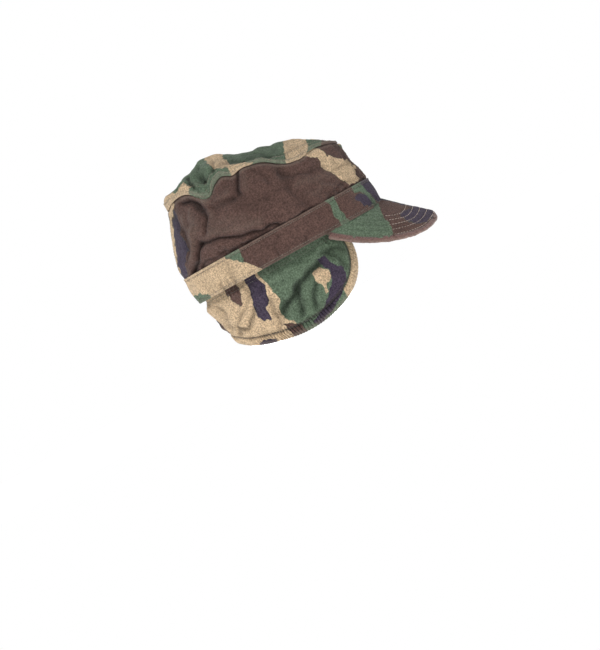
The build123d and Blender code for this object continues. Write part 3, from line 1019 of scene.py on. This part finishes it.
flap = {
    "cloth": 0.9,
    "columns": 600,
    "rows": 60,
    "top": (96.2, 76.2, 0.8),  # half length, half width and centre of its oval at the band
    "low": (88.0, 75.2, 4.0),  # and at lowZ
    "lowZ": -76.0,
    "bulge": 0.9,  # half way down it stands out by this much
    "flare": 2.4,
    "tuck": 1.8,  # the top goes up inside the sweatband by this much
    "front": 56.5,
    "outline": [(-99, -48.5), (-91, -50.5), (-86, -54), (-74, -61.5), (-59, -66.5), (-39, -71), (-22, -73),
                (-4, -72.3), (13, -69), (31, -62.5), (46, -51.5), (53.4, -41), (57.6, -29), (58.8, -19),
                (58.2, -10)],
    "rollRadius": 2.2,
    "seamInset": 7.4,
    "fill": 4.6,
    "fillRow": 9,  # the filling starts this many rows of the grid above the edge
    "topStitching": (-3.0, -6.2),
    "folds": [
        ([(-32, -47), (-18, -37), (-3, -29), (19, -22)], 5.2, 3.4),
        ([(-24, -35), (-8, -24), (12, -17)], 5.5, -1.6),
        ([(-8, -33), (-13, -46), (-17, -60)], 4.0, 2.2),
        ([(-20, -44), (-24, -60)], 3.6, -1.6),
        ([(-4, -61), (2, -50), (9, -39)], 3.4, 2.4),
        ([(4, -60), (12, -48), (18, -38)], 3.8, -1.4),
        ([(-21, -64), (-4, -62), (13, -56)], 3.0, -1.4),
        ([(-78, -42), (-67, -43), (-57, -32)], 3.2, 2.2),
        ([(-83, -48), (-80, -48)], 2.6, 2.4),
        ([(-76, -36), (-66, -36), (-58, -26)], 3.6, -1.3),
        ([(-73, -54), (-64, -58), (-54, -61)], 2.6, 1.5),
        ([(-84, -50), (-80, -38), (-70, -30)], 2.8, 1.8),
        ([(-64, -28), (-56, -20), (-50, -8)], 3.2, 1.3),
        ([(-88, -12), (-84, -24), (-86, -36)], 2.8, 1.2),
        ([(-44, -60), (-40, -46), (-37, -30)], 3.2, 1.5),
        ([(34, -16), (42, -28), (47, -42)], 3.4, 1.6),
        ([(26, -12), (40, -16), (52, -22)], 3.6, 1.6),
        ([(-18, -10), (0, -13), (24, -10)], 4.0, -0.8),
        ([(-30, -18), (-10, -22), (10, -18)], 3.0, 0.8),
    ],
    "blotches": [
        ("tan", [(-130, 12), (-35, 12), (-36, -2), (-32, -20), (-29, -34), (-36, -45), (-34, -54), (-25, -62),
                 (-34, -80), (-130, -80)]),
        ("brown", [(-74, 12), (-59, 12), (-60, -8), (-64, -21), (-67, -22), (-72, -12)]),
        ("navy", [(-50, 12), (-40, 12), (-39, -6), (-36, -17), (-40, -30), (-45, -36), (-46, -48), (-54, -45),
                  (-57, -40), (-55, -24), (-51, -14), (-51, -6)]),
        ("tan", [(11, -27), (20, -25), (27, -33), (27, -40), (19, -42), (16, -51), (12, -51), (15, -43),
                 (10, -36)]),
        ("navy", [(20, -18), (30, -17), (32, -27), (41, -38), (37, -49), (24, -61), (11, -68), (-6, -76),
                  (-12, -70), (8, -60), (16, -52), (24, -43), (28, -35), (24, -27)]),
        ("navy", [(-68, -63), (-58, -63), (-52, -67), (-49, -80), (-68, -80)]),
        ("brown", [(-38, -57), (-30, -60), (-22, -66), (-20, -80), (-33, -80), (-35, -68)]),
        ("brown", [(-100, -22), (-93, -28), (-91, -40), (-94, -46), (-104, -44)]),
        ("green", [(-100, -50), (-86, -54), (-80, -60), (-90, -64), (-104, -54)]),
    ],
}


def flapRing(angle, z):
    t = -z / -flap["lowZ"]
    (ax, ay, ac), (bx, by, bc) = flap["top"], flap["low"]
    bulge = flap["bulge"] * np.sin(math.pi * np.clip(t, 0, 1))
    bulge += flap["flare"] * smooth(1.5, -8, z) * smooth(-48, -10, z) * smooth(0.3, -0.2, np.cos(angle))
    x = ac + (bc - ac) * t + (ax + (bx - ax) * t + bulge) * np.cos(angle)
    return np.stack([x, (ay + (by - ay) * t + bulge) * np.sin(angle), z], -1)


def flapEdge(count):
    # the free edge from the middle of the back to the front, evenly spaced, as (angle, z) on the right
    x, z = np.array(flap["outline"], float).T
    t = np.concatenate([[0], np.cumsum(np.hypot(np.diff(x), np.diff(z)))])
    fine = np.linspace(0, t[-1], 1200)
    fx, fz = spline(t, x, fine), spline(t, z, fine)
    part = -fz / -flap["lowZ"]
    half = flap["top"][0] + (flap["low"][0] - flap["top"][0]) * part
    half = half + flap["bulge"] * np.sin(math.pi * part)
    angle = np.arccos(np.clip((fx - flap["low"][2] * part) / half, -1, 1))
    nape = np.linspace(math.pi, angle[0], 60)[:-1]  # level across the middle of the back
    angle = np.concatenate([nape, angle])
    z = np.concatenate([np.full(len(nape), fz[0]), fz])
    p = flapRing(angle, z)
    run = np.concatenate([[0], np.cumsum(np.linalg.norm(np.diff(p, axis=0), axis=1))])
    even = np.linspace(0, run[-1], count)
    return np.interp(even, run, angle), np.interp(even, run, z), even


def flapGrid(side, columns, levels):
    # rows go up from the free edge, columns go round the way angles do
    low, lowZ, run = flapEdge(columns)
    high = np.linspace(math.pi, math.acos(flap["front"] / flap["top"][0]), columns)
    t = (np.linspace(0, 1, levels) ** 1.25)[:, None]
    angle = low + (high - low) * t
    z = lowZ + (flap["tuck"] - lowZ) * t
    if side == "left":
        angle, z, run = angle[:, ::-1], z[:, ::-1], run[::-1]
    else:
        angle = -angle
    return flapRing(angle, z), np.tile(run, (levels, 1))


def flapShape(side, columns, levels):
    # the outer face of the quilted flap, before its edge rolls under
    grid, run = flapGrid(side, columns, levels)
    fromEdge = toLine(grid, grid[0, ::max(1, columns // 150)])
    normal = normalsOf(grid, False)
    x, z = grid[..., 0], grid[..., 2]
    folds = flap["folds"] if side == "right" else leftFolds(flap["folds"])
    seed = 300 if side == "right" else 330
    body = smooth(flap["seamInset"], flap["seamInset"] + 7, fromEdge) * smooth(-3, -11, z)
    push = foldDepth(grid, folds) * body - 0.9 * body
    uneven = ripple(grid, 30, seed) * 0.8 + ripple(grid, 13, seed + 1) * 0.45
    uneven += ripple(grid, 6, seed + 2) * 0.16
    push += uneven * body
    push += 0.7 * bell(fromEdge - flap["seamInset"], 1.1)
    rim = bell(fromEdge - flap["seamInset"] * 0.45, 3.0)
    push -= 0.9 * rim
    phase = run * 2 * math.pi / 3.3 + 1.3 * ripple(grid, 14, seed + 3)
    gather = 0.25 + 0.75 * smooth(-78, -58, x) * smooth(26, 6, x)
    ribs = np.sin(phase) * gather * smooth(flap["seamInset"] + 4.5, flap["seamInset"] - 1.5, fromEdge)
    push += 0.75 * ribs
    tucks = np.sin(run * 2 * math.pi / 7.1 + 2 * ripple(grid, 30, seed + 4))
    push += 0.35 * tucks * bell(z + 7, 4) * smooth(1, -2, z)
    for row in flap["topStitching"]:
        push += 0.45 * bell(z - row, 0.8)
    # painted shade in the folds, along the seam and in the rib grooves, and a painted shadow under the band
    # at the top
    crease = np.clip(foldDepth(grid, folds) / 3.4, 0, 0.9) * body
    crease += 0.75 * bell(fromEdge - flap["seamInset"], 1.2)
    crease += 0.75 * np.clip(ribs, 0, 1) + 0.75 * smooth(-2.6, 1.0, z)
    return grid - normal * push[..., None], normal, fromEdge, ribs, crease


def flapPieces(side):
    outer, normal, fromEdge, ribs, crease = flapShape(side, flap["columns"], flap["rows"])
    edgeOut = unit(outer[0] - outer[2])
    edgeOut = unit(edgeOut - (edgeOut * normal[0]).sum(-1, keepdims=True) * normal[0])
    radius = flap["rollRadius"] * (1 - 0.10 * ribs[0])[:, None]
    centre = outer[0] - normal[0] * radius
    turns = np.radians([158, 135, 112, 90, 68, 45, 22])
    roll = np.array([centre + radius * (normal[0] * math.cos(t) + edgeOut * math.sin(t)) for t in turns])
    skin = np.concatenate([roll, outer])
    rolledNormal = np.array([normal[0] * math.cos(t) + edgeOut * math.sin(t) for t in turns])
    thick = np.concatenate([rolledNormal, normal])
    away = np.concatenate([np.tile(-turns[:, None] * flap["rollRadius"], (1, outer.shape[1])), fromEdge])
    # painted shade on the rolled rim's ribs, then the face's painted shade
    creases = np.concatenate([np.tile(0.3 * np.clip(ribs[:1], 0, 1), (len(turns), 1)), crease])
    wear = 0.8 * bell(away + 0.5, 2.2) + 0.25 * bell(away - flap["seamInset"] - 1.0, 1.0)
    hand = np.full(away.shape, 1.0 if side == "right" else 0.0)
    fields = printed(skin, "green", flap["blotches"], 341, hand)
    frontRim = np.minimum(6.6 - away, (skin[..., 0] - 30) * 0.6)
    for ink in inks:
        drawn = fields[ink]
        fields[ink] = np.maximum(drawn, frontRim) if ink == "tan" else np.minimum(drawn, -frontRim)
    fields = inkFields(fields)
    fields.update(crease=np.clip(creases, 0, 1), wear=wear)
    name = side.capitalize()
    cloth = shell("earFlapOuter" + name, skin, skin - thick * flap["cloth"], camouflage, False, fields)
    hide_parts("ear_flap_outer_" + side)
    lifted = outer + normal * 0.2
    stitchRows["flap"].append((contour(lifted, fromEdge, flap["seamInset"])[3:-30], False))
    for level in flap["topStitching"]:
        stitchRows["flapTop"].append((contour(lifted, lifted[..., 2], level), False))

    soft, softNormal, softEdge, _, _ = flapShape(side, 240, 40)
    puff = 0.5 * ripple(soft, 24, 371) + 0.25 * ripple(soft, 9, 372)
    depth = flap["fill"] - 0.5 + puff * smooth(4, 12, softEdge) - 1.6 * bell(softEdge, 4.0)
    depth -= 0.7 * bell(softEdge - flap["seamInset"], 1.2)
    face = soft - softNormal * depth[..., None]
    # painted shade along the lining's stitched seam
    liningSeamShade = 0.4 * bell(softEdge - flap["seamInset"], 1.0)
    innerFace = face - softNormal * flap["cloth"]
    lining = shell("earFlapLining" + name, face, innerFace, liningCloth, False, {"crease": liningSeamShade})
    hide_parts("ear_flap_lining_" + side)
    lifted = innerFace - softNormal * 0.2
    stitchRows["flapInside"].append((contour(lifted, softEdge, flap["seamInset"])[3:-12], False))

    keep = smooth(flap["seamInset"], flap["seamInset"] + 5, softEdge) * smooth(-1, -5, soft[..., 2])
    upper = soft - softNormal * (1.15 + 1.0 * (1 - keep))[..., None]
    lower = soft - softNormal * (depth - 0.25 - 0.8 * (1 - keep))[..., None]
    filled = slice(flap["fillRow"], -3)
    wadding = shell("earFlapWadding" + name, upper[filled], lower[filled], fibre, False)
    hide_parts("ear_flap_wadding_" + side)
    return cloth, lining, wadding, outer, normal, fromEdge


def flapElastic(sides):
    # one tape round the nape, inside the rolled rim
    lines = []
    for outer, normal, fromEdge in sides:
        inner = outer - normal * 1.9
        low, high = contour(inner, fromEdge, 1.6), contour(inner, fromEdge, 6.2)
        count = min(len(low), len(high))
        keep = [i for i in range(0, count, 3) if low[i][0] < 12 and high[i][0] < 12]
        lines.append(np.stack([low[keep] + (high[keep] - low[keep]) * t for t in np.linspace(0, 1, 6)]))
    left, right = lines
    grid = np.concatenate([left[:, :-1], right], 1)
    normal = normalsOf(grid, False)
    push = 0.15 * np.sin(np.arange(grid.shape[1]) * 2 * math.pi / 4)[None, :]
    outer = grid - normal * push[..., None]
    tape = shell("earFlapElastic", outer, outer - normal * 0.9, elasticTape, False)
    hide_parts("ear_flap_elastic")
    return tape


rightPieces = flapPieces("right")
leftPieces = flapPieces("left")
elastic = flapElastic([leftPieces[3:], rightPieces[3:]])
flapObjects = [*rightPieces[:3], *leftPieces[:3], elastic]
print("ear flap made")


# stitches: geometry nodes lay a thread stitch at each step along a row

stitches = {  # rows sewn, pitch, stitch length, thickness, unevenness, thread colour, body
    "bandStitches": (["band"], 3.0, 2.2, 0.52, 0.2, (0.19, 0.15, 0.11), "cap"),
    "seamStitches": (["seam"], 3.0, 2.2, 0.56, 0.2, (0.30, 0.25, 0.17), "cap"),
    "visorStitches": (["visor"], 3.3, 2.6, 0.60, 0.2, (0.62, 0.48, 0.40), "cap"),
    "earFlapStitches": (["flap"], 3.3, 2.5, 0.56, 0.2, (0.040, 0.034, 0.032), "ear_flap"),
    "earFlapTopStitches": (["flapTop", "flapInside"], 3.0, 2.3, 0.42, 0.2, (0.13, 0.12, 0.085), "ear_flap"),
}


def stitchTree():
    tree = bpy.data.node_groups.new("stitchRow", "GeometryNodeTree")
    for name, kind in (("Rows", "Geometry"), ("Pitch", "Float"), ("Length", "Float"), ("Thickness", "Float"),
                       ("Unevenness", "Float"), ("Seed", "Int"), ("Thread", "Material")):
        tree.interface.new_socket(name=name, in_out="INPUT", socket_type="NodeSocket" + kind)
    tree.interface.new_socket(name="Stitches", in_out="OUTPUT", socket_type="NodeSocketGeometry")
    new = tree.nodes.new
    given, out = new("NodeGroupInput"), new("NodeGroupOutput")
    toCurve, resample = new("GeometryNodeMeshToCurve"), new("GeometryNodeResampleCurve")
    resample.mode = "LENGTH"
    bead = new("GeometryNodeMeshUVSphere")
    bead.inputs["Segments"].default_value = 6
    bead.inputs["Rings"].default_value = 5
    bead.inputs["Radius"].default_value = 0.5
    tangent, align = new("GeometryNodeInputTangent"), new("FunctionNodeAlignRotationToVector")
    align.axis = "X"
    size, jitter = new("ShaderNodeCombineXYZ"), new("FunctionNodeRandomValue")
    scale = new("ShaderNodeVectorMath")
    scale.operation = "SCALE"
    least, most = new("ShaderNodeMath"), new("ShaderNodeMath")
    least.operation, most.operation = "SUBTRACT", "ADD"
    least.inputs[0].default_value = most.inputs[0].default_value = 1.0
    place, real = new("GeometryNodeInstanceOnPoints"), new("GeometryNodeRealizeInstances")
    soft, paint = new("GeometryNodeSetShadeSmooth"), new("GeometryNodeSetMaterial")
    link = tree.links.new
    link(given.outputs["Rows"], toCurve.inputs[0])
    link(toCurve.outputs[0], resample.inputs["Curve"])
    link(resample.outputs[0], place.inputs["Points"])
    link(bead.outputs[0], place.inputs["Instance"])
    link(tangent.outputs[0], align.inputs["Vector"])
    link(align.outputs[0], place.inputs["Rotation"])
    for name, socket in (("Pitch", resample.inputs["Length"]), ("Length", size.inputs[0]),
                         ("Thickness", size.inputs[1]), ("Thickness", size.inputs[2]),
                         ("Unevenness", least.inputs[1]), ("Unevenness", most.inputs[1]),
                         ("Seed", jitter.inputs["Seed"]), ("Thread", paint.inputs["Material"])):
        link(given.outputs[name], socket)
    link(least.outputs[0], jitter.inputs[2])
    link(most.outputs[0], jitter.inputs[3])
    link(size.outputs[0], scale.inputs[0])
    link(jitter.outputs[1], scale.inputs["Scale"])
    link(scale.outputs[0], place.inputs["Scale"])
    link(place.outputs[0], real.inputs[0])
    link(real.outputs[0], soft.inputs[0])
    link(soft.outputs[0], paint.inputs[0])
    link(paint.outputs[0], out.inputs[0])
    return tree


def sew(tree, name, seed):
    groups, pitch, length, thickness, uneven, colour, body = stitches[name]
    points, edges = [], []
    for line, closed in (row for group in groups for row in stitchRows[group]):
        first = len(points)
        points += (line * mm).tolist()
        edges += [(i, i + 1) for i in range(first, len(points) - 1)]
        if closed:
            edges.append((len(points) - 1, first))
    mesh = bpy.data.meshes.new(name + "Rows")
    mesh.from_pydata(points, edges, [])
    obj = bpy.data.objects.new(name, mesh)
    bpy.context.scene.collection.objects.link(obj)
    modifier = obj.modifiers.new("stitches", "NODES")
    modifier.node_group = tree
    thread = threadMaterial(name + "Thread", colour)
    values = {"Pitch": pitch * mm, "Length": length * mm, "Thickness": thickness * mm, "Unevenness": uneven,
              "Seed": seed, "Thread": thread}
    for item in tree.interface.items_tree:
        if item.in_out == "INPUT" and item.name in values:
            modifier[item.identifier] = values[item.name]
    bpy.context.view_layer.update()
    done = bpy.data.meshes.new_from_object(obj.evaluated_get(bpy.context.evaluated_depsgraph_get()))
    obj.modifiers.clear()
    obj.data = done
    done.name = name
    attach(obj, body)
    return obj


tree = stitchTree()
for seed, name in enumerate(stitches):
    sew(tree, name, seed + 3)
print("stitches sewn")


# which body each piece moves with
capObjects = [crownSideRight, crownSideLeft, crownTopPanel, outerBandRing, interlining, sweatRing, label,
              visorUpperCover, visorLowerCover, visorBoard, visorBindingTape]
for obj in capObjects:
    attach(obj, "cap")
for obj in flapObjects:
    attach(obj, "ear_flap")


# floor, light and camera

studio = {
    "floorDrop": 0.5,
    "floorSize": 1500,
    "ambient": 0.24,
    "roll": 29.0,
    "lens": 200.0,
    "sensor": 36.0,
    "viewHeight": 650.0,
    "middle": (10.7, -71.1),  # of the frame, right of and above the origin as the camera sees them
    "eye": (10.7, 8.0),  # what the lens faces squarely; the rest is shift
}


def floorAndLight():
    low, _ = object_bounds()
    half = studio["floorSize"] * mm / 2
    z = low.z - studio["floorDrop"] * mm
    mesh = bpy.data.meshes.new("floor")
    corners = [(-half, -half, z), (half, -half, z), (half, half, z), (-half, half, z)]
    mesh.from_pydata(corners, [], [(0, 1, 2, 3)])
    floor = bpy.data.objects.new("floor", mesh)
    bpy.context.scene.collection.objects.link(floor)
    mat, nt, shader, where = newMaterial("paleFloor")
    cloudy = rangeNode(nt, noiseNode(nt, where.outputs["Object"], 6.0), 0.3, 0.7)
    nt.links.new(mixNode(nt, cloudy, (0.90, 0.90, 0.90), (0.93, 0.93, 0.93)), shader.inputs["Base Color"])
    shader.inputs["Roughness"].default_value = 0.8
    shader.inputs["Emission Color"].default_value = (1.0, 1.0, 1.0, 1)
    shader.inputs["Emission Strength"].default_value = 1.0
    mesh.materials.append(mat)
    lamps = {
        "keyLight": ((-0.5, -0.9, 2.1), 0.5, 44.0),
        "fillLight": ((2.1, -1.3, 0.2), 0.9, 12.0),
        "leftLight": ((-2.2, -1.5, 0.4), 0.7, 8.0),
        "backLight": ((-0.4, 1.8, 1.5), 1.4, 26.0),
    }
    for name, (spot, size, power) in lamps.items():
        data = bpy.data.lights.new(name, "AREA")
        data.size, data.energy = size, power
        lamp = bpy.data.objects.new(name, data)
        lamp.location = spot
        lamp.rotation_mode = "QUATERNION"
        lamp.rotation_quaternion = (Vector((0.01, 0, 0.02)) - Vector(spot)).to_track_quat("-Z", "Y")
        bpy.context.scene.collection.objects.link(lamp)
    world = bpy.data.worlds.new("studio")
    world.use_nodes = True
    nodes, link = world.node_tree.nodes, world.node_tree.links.new
    seen, ambient = nodes.new("ShaderNodeBackground"), nodes["Background"]
    seen.inputs[0].default_value = ambient.inputs[0].default_value = (1.0, 1.0, 1.0, 1)
    seen.inputs[1].default_value, ambient.inputs[1].default_value = 1.0, studio["ambient"]
    ray, both = nodes.new("ShaderNodeLightPath"), nodes.new("ShaderNodeMixShader")
    link(ray.outputs["Is Camera Ray"], both.inputs[0])
    link(ambient.outputs[0], both.inputs[1])
    link(seen.outputs[0], both.inputs[2])
    link(both.outputs[0], nodes["World Output"].inputs[0])
    bpy.context.scene.world = world
    bpy.context.scene.view_settings.view_transform = "Standard"


def placeCamera():
    roll = math.radians(studio["roll"])
    right = Vector((math.cos(roll), 0, -math.sin(roll)))
    up = Vector((math.sin(roll), 0, math.cos(roll)))
    away = studio["lens"] * studio["viewHeight"] / studio["sensor"]
    (across, above), (eyeAcross, eyeAbove) = studio["middle"], studio["eye"]
    data = bpy.data.cameras.new("camera")
    data.lens, data.sensor_width = studio["lens"], studio["sensor"]
    data.shift_x = (across - eyeAcross) / studio["viewHeight"]
    data.shift_y = (above - eyeAbove) / studio["viewHeight"]
    data.clip_end = 30
    camera = bpy.data.objects.new("camera", data)
    turned = Matrix((right, up, Vector((0, -1, 0)))).transposed().to_4x4()
    turned.translation = (right * eyeAcross + up * eyeAbove + Vector((0, -away, 0))) * mm
    camera.matrix_world = turned
    bpy.context.scene.collection.objects.link(camera)
    bpy.context.scene.camera = camera


floorAndLight()
placeCamera()
print("scene ready")
